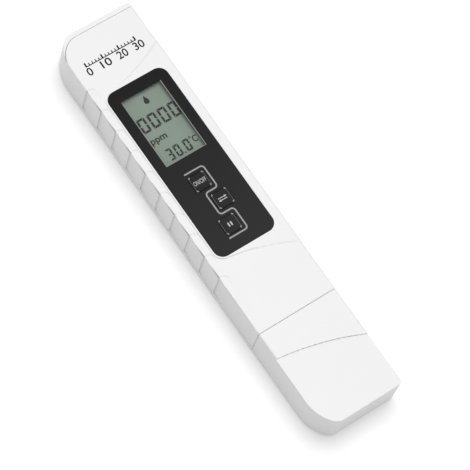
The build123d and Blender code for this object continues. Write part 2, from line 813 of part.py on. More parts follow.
with BuildPart() as probe_seal_ring:
    with BuildSketch(Plane.XZ.offset(-seal_middle_y - seal_width / 2)):
        with Locations((0, neck_middle_z)):
            RectangleRounded(neck_width + slide_clearance, neck_top - neck_base + slide_clearance, neck_edge)
            RectangleRounded(
                groove_width + fine_clearance, groove_depth + fine_clearance, neck_edge, mode=Mode.SUBTRACT
            )
    extrude(amount=seal_width)
probe_seal_ring.part.label = "probe_seal_ring"
export_step(probe_seal_ring.part, "parts/probe_seal_ring.step")

# Screws: each group is separate solids driven in from the rear
with BuildPart() as case_screws:
    with BuildSketch(Plane.XY.offset(door_inset)):
        with Locations(*case_screw_places):
            Circle(case_screw_head)
    extrude(amount=case_screw_head_height)
    with BuildSketch(Plane.XY.offset(door_inset + case_screw_head_height)):
        with Locations(*case_screw_places):
            Circle(case_screw_shank)
    extrude(amount=case_screw_length)
    with BuildSketch(Plane.XY.offset(door_inset)):
        with Locations(*case_screw_places):
            Rectangle(case_screw_cross, case_screw_cross_width)
            Rectangle(case_screw_cross_width, case_screw_cross)
    extrude(amount=case_screw_cross_width, mode=Mode.SUBTRACT)
case_screws.part.label = "case_screws"
export_step(case_screws.part, "parts/case_screws.step")

with BuildPart() as board_screws:
    with BuildSketch(Plane.XY.offset(board_base)):
        with Locations(*board_screw_places):
            Circle(board_screw_head)
    extrude(amount=-board_screw_head_height)
    with BuildSketch(Plane.XY.offset(board_base)):
        with Locations(*board_screw_places):
            Circle(board_screw_shank)
    extrude(amount=board_screw_length)
board_screws.part.label = "board_screws"
export_step(board_screws.part, "parts/board_screws.step")
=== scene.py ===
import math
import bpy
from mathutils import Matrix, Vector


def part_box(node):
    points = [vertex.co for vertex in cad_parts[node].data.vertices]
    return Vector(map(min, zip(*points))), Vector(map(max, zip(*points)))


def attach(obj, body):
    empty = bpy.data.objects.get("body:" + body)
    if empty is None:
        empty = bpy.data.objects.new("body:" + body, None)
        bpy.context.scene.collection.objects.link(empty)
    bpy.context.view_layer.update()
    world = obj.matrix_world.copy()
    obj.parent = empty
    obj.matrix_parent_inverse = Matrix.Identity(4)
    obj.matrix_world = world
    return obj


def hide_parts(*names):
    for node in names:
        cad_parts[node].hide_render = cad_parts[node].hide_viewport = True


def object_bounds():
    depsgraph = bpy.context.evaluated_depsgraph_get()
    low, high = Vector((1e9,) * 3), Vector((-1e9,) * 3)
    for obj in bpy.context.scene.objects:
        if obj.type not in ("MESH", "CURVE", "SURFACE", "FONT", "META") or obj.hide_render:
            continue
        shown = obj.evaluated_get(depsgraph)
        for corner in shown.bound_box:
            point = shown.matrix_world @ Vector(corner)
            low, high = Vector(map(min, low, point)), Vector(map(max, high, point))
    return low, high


bl_info = {
    "name": "Pen water tester",
    "version": (1, 0),
    "blender": (4, 5, 0),
    "location": "View3D > Sidebar > Tester",
    "description": "Finishes, keys, display, prints and stage of a pen-shaped water tester",
    "category": "Object",
}

import bmesh
import bpy
from mathutils import Matrix, Vector

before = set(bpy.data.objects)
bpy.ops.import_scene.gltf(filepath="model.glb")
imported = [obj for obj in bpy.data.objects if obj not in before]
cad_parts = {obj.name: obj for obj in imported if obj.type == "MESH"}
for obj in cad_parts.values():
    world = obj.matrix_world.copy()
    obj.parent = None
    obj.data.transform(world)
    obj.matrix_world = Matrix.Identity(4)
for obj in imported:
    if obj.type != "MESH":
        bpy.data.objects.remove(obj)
CAD_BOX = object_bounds()
MM = 0.001

# Places taken from the frame
PANEL_LOW, PANEL_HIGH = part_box("panel_overlay")
WINDOW_LOW, WINDOW_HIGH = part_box("display_window")
GLASS_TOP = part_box("lcd_front_glass")[1].z
KEY_NAMES = ("on_off_key", "shift_key", "hold_key")

# Steps and flanges of the solids
FIELD_STEP = 0.3 * MM
LEDGE_STEP = 0.4 * MM
WINDOW_FLANGE = 1.5 * MM
KEY_FLANGE = 0.7 * MM
KEY_FLANGE_DEPTH = 0.6 * MM
FACE_HEIGHT = PANEL_HIGH.z - FIELD_STEP
LEDGE_HEIGHT = FACE_HEIGHT - LEDGE_STEP

# Opening over the display
DISPLAY_LEFT = WINDOW_LOW.x + WINDOW_FLANGE
DISPLAY_TOP = WINDOW_HIGH.y - WINDOW_FLANGE
DISPLAY_WIDTH = WINDOW_HIGH.x - WINDOW_LOW.x - 2 * WINDOW_FLANGE
DISPLAY_LENGTH = WINDOW_HIGH.y - WINDOW_LOW.y - 2 * WINDOW_FLANGE
# Painted highlight along the window's lit edge: its width, and the share of the length at the top of the
# left side that it leaves bare
RIM_WIDTH = 0.26 * MM
RIM_LEFT_SHARE = 0.45

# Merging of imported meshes, and angles in degrees above which edges stay sharp
WELD_DISTANCE = 0.002 * MM
FLAT_ANGLE = math.radians(0.4)
KEY_SHARP_ANGLE = 40
PROBE_SHARP_ANGLE = 30

# Painted shade line at the foot of the ledge: its width, and how far a wall may lean
LEDGE_LINE = 0.75 * MM
WALL_LEAN = 0.1

# How far prints and the painted highlight and shade marks stand out of their surface
MARK_HEIGHT = 0.02 * MM

# Numbers, rule and ticks above the panel; a tick is a width and a height
SCALE_MIDDLE = Vector((-0.6 * MM, 64.1 * MM))
SCALE_NUMBERS = ("0", "10", "20", "30")
NUMBER_SHAPE = 0.66
NUMBER_DROP = 0.35 * MM
NUMBER_WEIGHT = 0.012
RULE_HEIGHT = 0.32 * MM
TICK_LIFT = 0.25 * MM
MAJOR_TICK = (0.55 * MM, 1.4 * MM)
MINOR_TICK = (0.35 * MM, 0.85 * MM)
MINOR_STEPS = 5

# Line round the keys, measured from their middles
LINE_ABOVE = 4.35 * MM
LINE_BELOW = 3.95 * MM
LINE_LEFT = 3.85 * MM
LINE_RIGHT = 4.05 * MM
LINE_WIDENING = 0.25 * MM
LINE_FIRST_END = 3.1 * MM
LINE_LAST_END = 3.0 * MM
LINE_CORNER_STEPS = 8

# Key pads: the rim goes inward from the side to the dish, each step an inset and a depth below the top
KEY_DISH = 0.06 * MM
KEY_RIM = (
    (0.0, 0.2 * MM),
    (0.06 * MM, 0.09 * MM),
    (0.16 * MM, MARK_HEIGHT),
    (0.34 * MM, MARK_HEIGHT),
    (0.46 * MM, KEY_DISH),
    (1.2 * MM, KEY_DISH),
)
KEY_SMALLEST_RADIUS = 0.12 * MM
KEY_CORNER_STEPS = 6

# Painted highlights on the corners and sides of the keys, inward from the pad's edge, with angles in degrees
GLINT_OUTER = 0.08 * MM
GLINT_INNER = 0.62 * MM
GLINT_FIRST = 8
GLINT_SPAN = 74
GLINT_STEPS = 6
SHEEN_INNER = 0.34 * MM
SHEEN_OUTER = 0.18 * MM

# Symbols on the keys, in millimetres from the key's middle
WORDS_HALF_WIDTH = 2.3
WORDS_HALF_HEIGHT = 0.78
ARROW = (
    (1.75, 0.0), (0.85, 0.42), (0.85, 0.13), (-1.5, 0.13),
    (-1.5, -0.13), (0.85, -0.13), (0.85, -0.42),
)
ARROW_ROW = 0.42
BAR_HALF_WIDTH = 0.24
BAR_HALF_HEIGHT = 0.72
BAR_PLACES = (-0.5, 0.5)

# Marks in the display, in millimetres right of its left edge and below its top, before the shift
MARK_SHIFT = 0.35 * MM
LARGE_DIGIT = (3.0, 5.4)
LARGE_PLACE = (0.6, 13.25)
LARGE_PITCH = 3.95
SMALL_DIGIT = (2.15, 4.3)
SMALL_STROKE = 0.85
SMALL_FOOT = 25.35
SMALL_READING = (("3", 2.75), ("0", 5.75), ("0", 9.45))
POINT_LEFT = 8.35
POINT_SIZE = 0.5
DEGREE_MIDDLE = (12.45, 21.35)
DEGREE_RADIUS = 0.32
DEGREE_LINE = 0.22
UNITS = (("C", 12.95, 14.75, 21.3, 23.7), ("ppm", 0.65, 6.65, 16.05, 18.5))
UNIT_WEIGHT = 0.02
DROP_MIDDLE = 7.8
DROP_TIP = 1.6
DROP_FOOT = 4.75
DROP_RADIUS = 0.95

# Seven-segment digits: which segments are lit, and a segment's shape in shares of its stroke
LIT_SEGMENTS = {"0": "abcdef", "3": "abcdg"}
SEGMENT_GAP = 0.04
SEGMENT_CUT = 0.16
SEGMENT_INNER_END = 0.35
SEGMENT_OUTER_END = 0.1
SEGMENT_TIP = 0.6

# Colours of the display's clear pieces and of what lies inside
LENS_TINT = (0.9, 0.93, 0.9)
GLASS_TINT = (0.8, 0.86, 0.8)
FRAME_GREY = (0.62, 0.62, 0.6)
STRIP_GREY = (0.12, 0.12, 0.13)
MASK_GREEN = (0.02, 0.11, 0.045)
COPPER = (0.72, 0.5, 0.22)
RESIN_BLACK = (0.012, 0.012, 0.013)
COMPONENT_BROWN = (0.05, 0.045, 0.04)
SWITCH_BLACK = (0.03, 0.03, 0.032)
STEM_CREAM = (0.75, 0.7, 0.6)
STEEL = (0.72, 0.72, 0.71)
CELL_NICKEL = (0.78, 0.77, 0.74)
CONTACT_NICKEL = (0.76, 0.74, 0.68)
SCREW_ZINC = (0.62, 0.62, 0.6)
PROBE_BLACK = (0.022, 0.022, 0.024)
PIN_METAL = (0.7, 0.68, 0.64)
SEAL_BLACK = (0.02, 0.02, 0.02)
WHITE = (1.0, 1.0, 1.0, 1.0)

# Stage: the camera is fitted to the panel, display and case edges; the lamp shines from its direction
CAMERA_PLACE_MM = (-309.97, -221.43, 844.1)
CAMERA_TURN = (22.6617, -8.9676, -34.8687)
SENSOR_MM = 36.0
NEAREST_SEEN = 0.05
LAMP_DIRECTION = (0.15, 0.2, 0.97)
FLOOR_REACH = 6.0
FLOOR_THICKNESS = 0.02
CLEAR_LAYERS = 16

# Inputs of the row of copies
ROW_INPUTS = {
    "Piece": ("NodeSocketObject", None),
    "Count": ("NodeSocketInt", 1),
    "First": ("NodeSocketVector", (0.0, 0.0, 0.0)),
    "Step": ("NodeSocketVector", (0.0, 0.0, 0.0)),
    "Finish": ("NodeSocketMaterial", None),
}


# Shader building
class Value:
    """A shader socket that can stand in a sum."""

    def __init__(self, finish, socket):
        self.finish = finish
        self.socket = socket

    def combine(self, operation, first, second):
        return self.finish.node("ShaderNodeMath", {"operation": operation}, {0: first, 1: second}).value()

    def __add__(self, other):
        return self.combine("ADD", self, other)

    __radd__ = __add__

    def __sub__(self, other):
        return self.combine("SUBTRACT", self, other)

    def __rsub__(self, other):
        return self.combine("SUBTRACT", other, self)

    def __mul__(self, other):
        return self.combine("MULTIPLY", self, other)

    __rmul__ = __mul__

    def __truediv__(self, other):
        return self.combine("DIVIDE", self, other)

    def clamped(self):
        return self.combine("MINIMUM", self.combine("MAXIMUM", self, 0.0), 1.0)

    def above(self, edge, softness):
        """0 below an edge and 1 above it, over a soft stretch."""
        return ((self - edge) / softness + 0.5).clamped()


class Node:
    """One placed node, whose outputs are read as values."""

    def __init__(self, finish, made):
        self.finish = finish
        self.made = made

    def value(self, output=0):
        return Value(self.finish, self.made.outputs[output])


class Finish:
    """A material in the making, with its nodes and the object's own coordinates in millimetres."""

    def __init__(self, name):
        self.material = bpy.data.materials.new(name)
        self.material.use_nodes = True
        self.tree = self.material.node_tree
        self.tree.nodes.clear()
        place = self.node("ShaderNodeTexCoord").value("Object")
        values = {0: place, "Scale": 1 / MM}
        self.place = self.node("ShaderNodeVectorMath", {"operation": "SCALE"}, values).value()

    def node(self, kind, settings=None, values=None):
        """Makes a node of a type with its settings first, then the values or links of its sockets."""
        made = self.tree.nodes.new(kind)
        for key, setting in (settings or {}).items():
            setattr(made, key, setting)
        for key, value in (values or {}).items():
            if isinstance(value, Value):
                self.tree.links.new(value.socket, made.inputs[key])
            else:
                made.inputs[key].default_value = value
        return Node(self, made)

    def along(self, axis):
        return self.node("ShaderNodeSeparateXYZ", None, {0: self.place}).value(axis)

    def noise(self, scale, detail=2.0, roughness=0.5, stretch=(1.0, 1.0, 1.0)):
        """Noise from 0 to 1 whose features are about 1 / scale millimetres wide."""
        place = self.node("ShaderNodeMapping", None, {"Vector": self.place, "Scale": stretch}).value()
        values = {"Vector": place, "Scale": scale, "Detail": detail, "Roughness": roughness}
        return self.node("ShaderNodeTexNoise", None, values).value(0)

    def cells(self, scale):
        """Distance to the nearest of scattered points, in cells of about 1 / scale millimetres."""
        values = {"Vector": self.place, "Scale": scale}
        return self.node("ShaderNodeTexVoronoi", None, values).value("Distance")

    def blend(self, first, second, factor):
        """A colour between two colours."""
        values = {0: factor, 6: opaque(first), 7: opaque(second)}
        return self.node("ShaderNodeMix", {"data_type": "RGBA"}, values).value(2)

    def bump(self, height, depth, strength):
        """A surface normal from a height of 0 to 1 that stands a depth in metres."""
        values = {"Height": height, "Distance": depth, "Strength": strength}
        return self.node("ShaderNodeBump", None, values).value()

    def surface(self, **sockets):
        """Finishes the material with one principled shader."""
        values = {name.replace("_", " "): value for name, value in sockets.items()}
        shader = self.node("ShaderNodeBsdfPrincipled", None, values).value()
        self.node("ShaderNodeOutputMaterial", None, {"Surface": shader})
        return self.material


def opaque(color):
    return color if isinstance(color, Value) else (*color[:3], 1.0)


def scaled(color, factor):
    return tuple(channel * factor for channel in color)


# Finishes
def moulded_plastic(name, color, roughness):
    """Satin moulded plastic: faint drift in tone, fine spark texture, and a little variation in gloss."""
    finish = Finish(name)
    cloud = finish.noise(scale=0.05, detail=3.0)
    spark = finish.noise(scale=9.0, roughness=0.6)
    return finish.surface(
        Base_Color=finish.blend(scaled(color, 0.985), color, cloud),
        Roughness=roughness - 0.04 + cloud * 0.08,
        Normal=finish.bump(spark, depth=0.004 * MM, strength=0.5),
    )


def panel_film(name, dark, light):
    """Printed film: near black at the top end, a little paler toward the tip, with a fine matt grain."""
    finish = Finish(name)
    low, high = PANEL_LOW.y / MM, PANEL_HIGH.y / MM
    toward_tip = 1.0 - (finish.along("Y") - low) / (high - low)
    grain = finish.noise(scale=14.0, roughness=0.7)
    return finish.surface(
        Base_Color=finish.blend(dark, light, (toward_tip + (grain - 0.5) * 0.25).clamped()),
        Roughness=0.45 + grain * 0.08,
        Specular_IOR_Level=0.1,
        Normal=finish.bump(grain, depth=0.002 * MM, strength=0.4),
    )


def print_and_painted_light(name, color, gloss=0.3):
    """Screen-printed colour with slightly uneven cover, used both for real prints and for painted highlights
    and painted shade.
    """
    finish = Finish(name)
    cover = finish.noise(scale=6.0, detail=3.0, roughness=0.6)
    return finish.surface(
        Base_Color=finish.blend(scaled(color, 0.9), color, cover),
        Roughness=0.45 + cover * 0.1,
        Specular_IOR_Level=gloss,
    )


def display_film(name, color):
    """Grey-green reflector behind the liquid crystal: soft clouds and a very fine sparkle."""
    finish = Finish(name)
    cloud = finish.noise(scale=0.16, detail=3.0)
    sparkle = finish.noise(scale=22.0, detail=1.0, roughness=0.8)
    mottle = (cloud * 0.8 + sparkle * 0.2).clamped()
    return finish.surface(
        Base_Color=finish.blend(scaled(color, 0.93), scaled(color, 1.06), mottle),
        Roughness=0.55 + sparkle * 0.1,
        Specular_IOR_Level=0.2,
    )


def clear_sheet(name, color, alpha, gloss):
    """Clear lens or thin glass that most of the light passes straight, with faint smears in its gloss."""
    finish = Finish(name)
    smear = finish.noise(scale=0.3, detail=4.0, roughness=0.6)
    return finish.surface(
        Base_Color=finish.blend(scaled(color, 0.96), color, smear),
        Roughness=0.05 + smear * 0.04,
        Alpha=alpha + smear * 0.01,
        Specular_IOR_Level=gloss,
    )


def plated_metal(name, color, roughness, brush=(1.0, 1.0, 12.0)):
    """Plated or drawn metal with fine brushing that runs across the axis with brush's largest factor."""
    finish = Finish(name)
    strokes = finish.noise(scale=6.0, detail=4.0, roughness=0.65, stretch=brush)
    dulled = finish.noise(scale=0.6, detail=3.0)
    return finish.surface(
        Base_Color=finish.blend(scaled(color, 0.86), color, dulled),
        Metallic=1.0,
        Roughness=roughness + strokes * 0.12,
        Normal=finish.bump(strokes, depth=0.002 * MM, strength=0.5),
    )


def soft_rubber(name, color):
    """Matt rubber with a dusty bloom."""
    finish = Finish(name)
    bloom = finish.noise(scale=1.4, detail=4.0, roughness=0.6)
    return finish.surface(
        Base_Color=finish.blend(color, scaled(color, 1.6), bloom),
        Roughness=0.62 + bloom * 0.15,
        Normal=finish.bump(finish.noise(scale=7.0, detail=3.0), depth=0.006 * MM, strength=0.5),
    )


def layered_rubber(name, color):
    """Contact strip: thin dark layers across a paler silicone."""
    finish = Finish(name)
    layer = finish.along("X") * 8.0
    stripe = layer.combine("PINGPONG", layer, 1.0).above(0.5, softness=0.2)
    return finish.surface(
        Base_Color=finish.blend(color, scaled(color, 3.2), stripe),
        Roughness=0.6 + stripe * 0.1,
    )


def circuit_board(name, mask, copper):
    """Green solder mask over copper tracks that run along the board, with pads at their ends."""
    finish = Finish(name)
    weave = finish.noise(scale=0.35, roughness=0.4, stretch=(1.0, 0.22, 1.0))
    run = (finish.along("X") + weave * 3.0) * 0.8
    track = run.combine("PINGPONG", run, 1.0).above(0.62, softness=0.08)
    pad = 1.0 - finish.cells(scale=0.28).above(0.2, softness=0.03)
    tone = finish.blend(mask, scaled(mask, 1.9), track)
    return finish.surface(
        Base_Color=finish.blend(tone, copper, pad),
        Metallic=pad,
        Roughness=0.36 - pad * 0.08 + track * 0.04,
        Normal=finish.bump(track, depth=0.03 * MM, strength=0.6),
    )


def poured_resin(name, color):
    """Glossy black drop of resin with shallow ripples."""
    finish = Finish(name)
    ripple = finish.noise(scale=0.5)
    return finish.surface(
        Base_Color=finish.blend(color, scaled(color, 2.2), ripple),
        Roughness=0.14 + ripple * 0.1,
        Normal=finish.bump(ripple, depth=0.12 * MM, strength=0.5),
    )


def stage_card(name, color, lift):
    """Seamless pale card that the camera sees a little brighter than the light it sends back."""
    finish = Finish(name)
    fibre = finish.noise(scale=0.02)
    ray = finish.node("ShaderNodeLightPath")
    seen = ray.value("Is Camera Ray") + ray.value("Is Glossy Ray") + ray.value("Is Transmission Ray")
    return finish.surface(
        Base_Color=finish.blend(scaled(color, 0.995), color, fibre),
        Roughness=0.9,
        Emission_Color=WHITE,
        Emission_Strength=seen.clamped() * lift,
    )


def dress(material, *nodes):
    """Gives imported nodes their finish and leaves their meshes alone."""
    for node in nodes:
        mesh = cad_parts[node].data
        mesh.materials.clear()
        mesh.materials.append(material)


# Pieces
def link(name, mesh, material):
    """A new piece at the origin, with its place in its mesh."""
    piece = bpy.data.objects.new(name, mesh)
    bpy.context.scene.collection.objects.link(piece)
    mesh.materials.clear()
    mesh.materials.append(material)
    return piece


def settle(piece, body, slot, *nodes):
    """Puts a finished piece on the body it rides on and hides the nodes it stands for; the slot is not used.
    """
    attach(piece, body)
    if nodes:
        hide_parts(*nodes)


def evaluated_mesh(piece):
    """The piece's mesh with its modifiers worked in."""
    graph = bpy.context.evaluated_depsgraph_get()
    return bpy.data.meshes.new_from_object(piece.evaluated_get(graph), depsgraph=graph)


def finished_mesh(form, name):
    """A new mesh from a form, which is freed."""
    mesh = bpy.data.meshes.new(name)
    form.to_mesh(mesh)
    form.free()
    return mesh


def joined(name, pieces):
    """One piece from several that lie on the same body and share a finish."""
    form = bmesh.new()
    for piece in pieces:
        form.from_mesh(piece.data)
    material = pieces[0].data.materials[0]
    for piece in pieces:
        bpy.data.objects.remove(piece)
    return link(name, finished_mesh(form, name), material)


def smooth_shell(node, body, slot, material, angle):
    """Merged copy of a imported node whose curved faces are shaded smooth, in the node's place."""
    form = bmesh.new()
    form.from_mesh(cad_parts[node].data)
    bmesh.ops.remove_doubles(form, verts=form.verts, dist=WELD_DISTANCE)
    bmesh.ops.dissolve_degenerate(form, edges=form.edges, dist=WELD_DISTANCE)
    bmesh.ops.dissolve_limit(form, angle_limit=FLAT_ANGLE, verts=form.verts, edges=form.edges)
    mesh = finished_mesh(form, f"{node}_smooth")
    mesh.shade_smooth()
    mesh.set_sharp_from_angle(angle=math.radians(angle))
    piece = link(f"{node}_finished", mesh, material)
    weighting = piece.modifiers.new("weighting", "WEIGHTED_NORMAL")
    weighting.keep_sharp = True
    piece.data = evaluated_mesh(piece)
    piece.modifiers.clear()
    settle(piece, body, slot, node)


# Mesh forms
def plate_mesh(name, outlines, low, high):
    """Closed flat plates from outlines in X and Y, between two heights."""
    form = bmesh.new()
    for outline in outlines:
        face = form.faces.new([form.verts.new((x, y, low)) for x, y in outline])
        face.normal_update()
        if face.normal.z > 0:
            face.normal_flip()
        raised = bmesh.ops.extrude_face_region(form, geom=[face])["geom"]
        top = [part for part in raised if isinstance(part, bmesh.types.BMVert)]
        bmesh.ops.translate(form, verts=top, vec=(0, 0, high - low))
    bmesh.ops.recalc_face_normals(form, faces=form.faces)
    return finished_mesh(form, name)


def ribbon_mesh(name, path, width, low, high):
    """Closed flat line of even width that follows a path, between two heights."""
    form = bmesh.new()
    rings = []
    for index, point in enumerate(path):
        ahead = path[min(index + 1, len(path) - 1)] - path[max(index - 1, 0)]
        side = Vector((-ahead.y, ahead.x)).normalized() * width / 2
        left, right = point + side, point - side
        corners = ((*left, low), (*right, low), (*right, high), (*left, high))
        rings.append([form.verts.new(corner) for corner in corners])
    for ring, after in zip(rings, rings[1:]):
        for corner in range(len(ring)):
            form.faces.new((ring[corner], ring[corner - 1], after[corner - 1], after[corner]))
    form.faces.new(rings[0])
    form.faces.new(reversed(rings[-1]))
    bmesh.ops.recalc_face_normals(form, faces=form.faces)
    return finished_mesh(form, name)


def lofted_form(name, rings, middle_height):
    """Closed form from stacked rings of like points; the last ring is closed by a fan to a middle point."""
    form = bmesh.new()
    made = [[form.verts.new(point) for point in ring] for ring in rings]
    for ring, after in zip(made, made[1:]):
        for index in range(len(ring)):
            form.faces.new((ring[index - 1], ring[index], after[index], after[index - 1]))
    form.faces.new(reversed(made[0]))
    last = made[-1]
    middle = sum((vertex.co for vertex in last), Vector()) / len(last)
    top = form.verts.new((middle.x, middle.y, middle_height))
    for index in range(len(last)):
        form.faces.new((last[index - 1], last[index], top))
    bmesh.ops.recalc_face_normals(form, faces=form.faces)
    return finished_mesh(form, name)


def lettering(name, words, left, right, low, high, base, material, weight=0.0):
    """Printed words made to fill a box in X and Y, as a thin plate on a surface."""
    curve = bpy.data.curves.new(name, "FONT")
    curve.body = words
    curve.extrude = 1.0
    curve.offset = weight
    drawn = bpy.data.objects.new(name, curve)
    bpy.context.scene.collection.objects.link(drawn)
    mesh = evaluated_mesh(drawn)
    bpy.data.objects.remove(drawn)
    xs = [vertex.co.x for vertex in mesh.vertices]
    ys = [vertex.co.y for vertex in mesh.vertices]
    stretch_x = (right - left) / (max(xs) - min(xs))
    stretch_y = (high - low) / (max(ys) - min(ys))
    for vertex in mesh.vertices:
        vertex.co.x = left + (vertex.co.x - min(xs)) * stretch_x
        vertex.co.y = low + (vertex.co.y - min(ys)) * stretch_y
        vertex.co.z = base + (MARK_HEIGHT if vertex.co.z > 0 else 0.0)
    return link(name, mesh, material)


# Outlines and paths
def box_outline(left, right, low, high):
    return [(left, low), (right, low), (right, high), (left, high)]


def circle_outline(x, y, radius, steps=24):
    turns = [2 * math.pi * step / steps for step in range(steps)]
    return [(x + radius * math.cos(turn), y + radius * math.sin(turn)) for turn in turns]


def drop_outline(x, low, high, radius, steps=20):
    """A drop: round below, drawn out to a point above."""
    centre = low + radius
    lean = math.acos(radius / (high - centre))
    turns = [math.pi / 2 + lean + 2 * (math.pi - lean) * step / steps for step in range(steps + 1)]
    round_part = [(x + radius * math.cos(turn), centre + radius * math.sin(turn)) for turn in turns]
    return round_part + [(x, high)]


def corner_centres(half_x, half_y, radius):
    """Centres of a rounded rectangle's four corner arcs about the origin, counter-clockwise."""
    x, y = half_x - radius, half_y - radius
    return (x, y), (-x, y), (-x, -y), (x, -y)


def rounded_outline(half_x, half_y, radius, steps):
    """Rounded rectangle about the origin, counter-clockwise, with its corners cut into steps."""
    outline = []
    for corner, (x, y) in enumerate(corner_centres(half_x, half_y, radius)):
        for step in range(steps + 1):
            angle = math.pi / 2 * (corner + step / steps)
            outline.append((x + radius * math.cos(angle), y + radius * math.sin(angle)))
    return outline


def rounded_path(points, radius, steps):
    """Open path through points whose inner corners are arcs."""
    path = [points[0]]
    for before, corner, after in zip(points, points[1:], points[2:]):
        back = (before - corner).normalized()
        ahead = (after - corner).normalized()
        reach = radius / math.tan(back.angle(ahead) / 2)
        centre = corner + (back + ahead).normalized() * math.hypot(radius, reach)
        first, last = corner + back * reach - centre, corner + ahead * reach - centre
        turn = first.angle_signed(last)
        path += [centre + Matrix.Rotation(-turn * step / steps, 2) @ first for step in range(steps + 1)]
    return path + [points[-1]]


def segment_outlines(lit, width, height, stroke):
    """Outlines of the lit segments of a digit that stands in its own box from 0, 0."""
    gap = stroke * SEGMENT_GAP
    cut = stroke * SEGMENT_CUT + gap
    slant = stroke + gap
    tip = stroke * SEGMENT_TIP
    half = height / 2
    top = [(cut, height), (width - cut, height), (width - slant, height - stroke), (slant, height - stroke)]
    upper_left = [
        (0, height - cut),
        (stroke, height - slant),
        (stroke, half + stroke * SEGMENT_INNER_END),
        (0, half + stroke * SEGMENT_OUTER_END),
    ]
    middle = [
        (tip, half),
        (slant, half + stroke / 2),
        (width - slant, half + stroke / 2),
        (width - tip, half),
        (width - slant, half - stroke / 2),
        (slant, half - stroke / 2),
    ]
    upper_right = [(width - x, y) for x, y in upper_left]
    shapes = {
        "a": top,
        "b": upper_right,
        "c": [(x, height - y) for x, y in upper_right],
        "d": [(x, height - y) for x, y in top],
        "e": [(x, height - y) for x, y in upper_left],
        "f": upper_left,
        "g": middle,
    }
    return [shapes[letter] for letter in lit]


# Geometry Nodes: one piece repeated along a straight row
def row_tree():
    """Copies of a piece on the points of a line, made real and given their finish."""
    tree = bpy.data.node_groups.new("row_of_copies", "GeometryNodeTree")
    for name, (kind, default) in ROW_INPUTS.items():
        socket = tree.interface.new_socket(name=name, in_out="INPUT", socket_type=kind)
        if default is not None:
            socket.default_value = default
    tree.interface.new_socket(name="Copies", in_out="OUTPUT", socket_type="NodeSocketGeometry")
    given = tree.nodes.new("NodeGroupInput")
    line = tree.nodes.new("GeometryNodeMeshLine")
    source = tree.nodes.new("GeometryNodeObjectInfo")
    copies = tree.nodes.new("GeometryNodeInstanceOnPoints")
    real = tree.nodes.new("GeometryNodeRealizeInstances")
    finished = tree.nodes.new("GeometryNodeSetMaterial")
    result = tree.nodes.new("NodeGroupOutput")
    for start, end in (
        (given.outputs["Count"], line.inputs["Count"]),
        (given.outputs["First"], line.inputs["Start Location"]),
        (given.outputs["Step"], line.inputs["Offset"]),
        (given.outputs["Piece"], source.inputs["Object"]),
        (line.outputs["Mesh"], copies.inputs["Points"]),
        (source.outputs["Geometry"], copies.inputs["Instance"]),
        (copies.outputs["Instances"], real.inputs["Geometry"]),
        (real.outputs["Geometry"], finished.inputs["Geometry"]),
        (given.outputs["Finish"], finished.inputs["Material"]),
        (finished.outputs["Geometry"], result.inputs["Copies"]),
    ):
        tree.links.new(start, end)
    return tree


def repeated(name, pattern, count, first, step):
    """A plain piece that holds a pattern piece repeated in a row; the pattern itself is removed."""
    material = pattern.data.materials[0]
    host = link(name, bpy.data.meshes.new(name), material)
    tree = bpy.data.node_groups.get("row_of_copies") or row_tree()
    modifier = host.modifiers.new("row", "NODES")
    modifier.node_group = tree
    given = {"Piece": pattern, "Count": count, "First": first, "Step": step, "Finish": material}
    for socket in tree.interface.items_tree:
        if socket.in_out == "INPUT":
            modifier[socket.identifier] = given[socket.name]
    mesh = evaluated_mesh(host)
    host.modifiers.clear()
    host.data = mesh
    bpy.data.objects.remove(pattern)
    return host


# Parts of the housing, the scale and the panel
def ledge_path():
    """Foot of the step round the top end of the front shell, as a chain of points."""
    form = bmesh.new()
    form.from_mesh(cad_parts["front_shell"].data)
    bmesh.ops.remove_doubles(form, verts=form.verts, dist=WELD_DISTANCE)
    neighbours = {}
    for edge in form.edges:
        level = all(abs(vertex.co.z - LEDGE_HEIGHT) < WELD_DISTANCE for vertex in edge.verts)
        walls = [face for face in edge.link_faces if abs(face.normal.z) < WALL_LEAN]
        rising = any(vertex.co.z > LEDGE_HEIGHT + WELD_DISTANCE for face in walls for vertex in face.verts)
        if level and len(walls) == 1 and rising and edge.verts[0].co.y > 0:
            for near, far in (edge.verts, reversed(edge.verts)):
                neighbours.setdefault(near.co.xy.copy().freeze(), []).append(far.co.xy.copy().freeze())
    form.free()
    ends = [place for place, others in neighbours.items() if len(others) == 1]
    chain = [max(ends, key=lambda place: place.x)]
    onward = chain
    while onward:
        onward = [place for place in neighbours[chain[-1]] if place not in chain][:1]
        chain += onward
    reach = CAD_BOX[1].x - LEDGE_LINE / 2
    return [place for place in chain if abs(place.x) < reach]


def scale_parts(settings, material, base):
    """Plain numbers in a row under a rule of ticks."""
    pitch = settings.scale_width / (len(SCALE_NUMBERS) - 1)
    start = SCALE_MIDDLE.x - settings.scale_width / 2
    number_top = SCALE_MIDDLE.y - NUMBER_DROP
    number_foot = number_top - settings.scale_height
    pieces = []
    for index, number in enumerate(SCALE_NUMBERS):
        middle = start + index * pitch
        half = settings.scale_height * NUMBER_SHAPE * len(number) / 2
        pieces.append(lettering(f"number_{number}", number, middle - half, middle + half,
                                number_foot, number_top, base, material, NUMBER_WEIGHT))
    minor_count = MINOR_STEPS * (len(SCALE_NUMBERS) - 1) + 1
    for name, (width, height), count in (
        ("major", MAJOR_TICK, len(SCALE_NUMBERS)),
        ("minor", MINOR_TICK, minor_count),
    ):
        tick = box_outline(-width / 2, width / 2, 0, height)
        pattern = link(f"{name}_tick", plate_mesh(f"{name}_tick", [tick], 0, MARK_HEIGHT), material)
        first = (start, SCALE_MIDDLE.y + TICK_LIFT, base)
        gap = settings.scale_width / (count - 1)
        pieces.append(repeated(f"{name}_ticks", pattern, count, first, (gap, 0, 0)))
    overhang = MAJOR_TICK[0] / 2
    rule = box_outline(start - overhang, start + settings.scale_width + overhang,
                       SCALE_MIDDLE.y, SCALE_MIDDLE.y + RULE_HEIGHT)
    pieces.append(link("scale_rule", plate_mesh("scale_rule", [rule], base, base + MARK_HEIGHT), material))
    return pieces


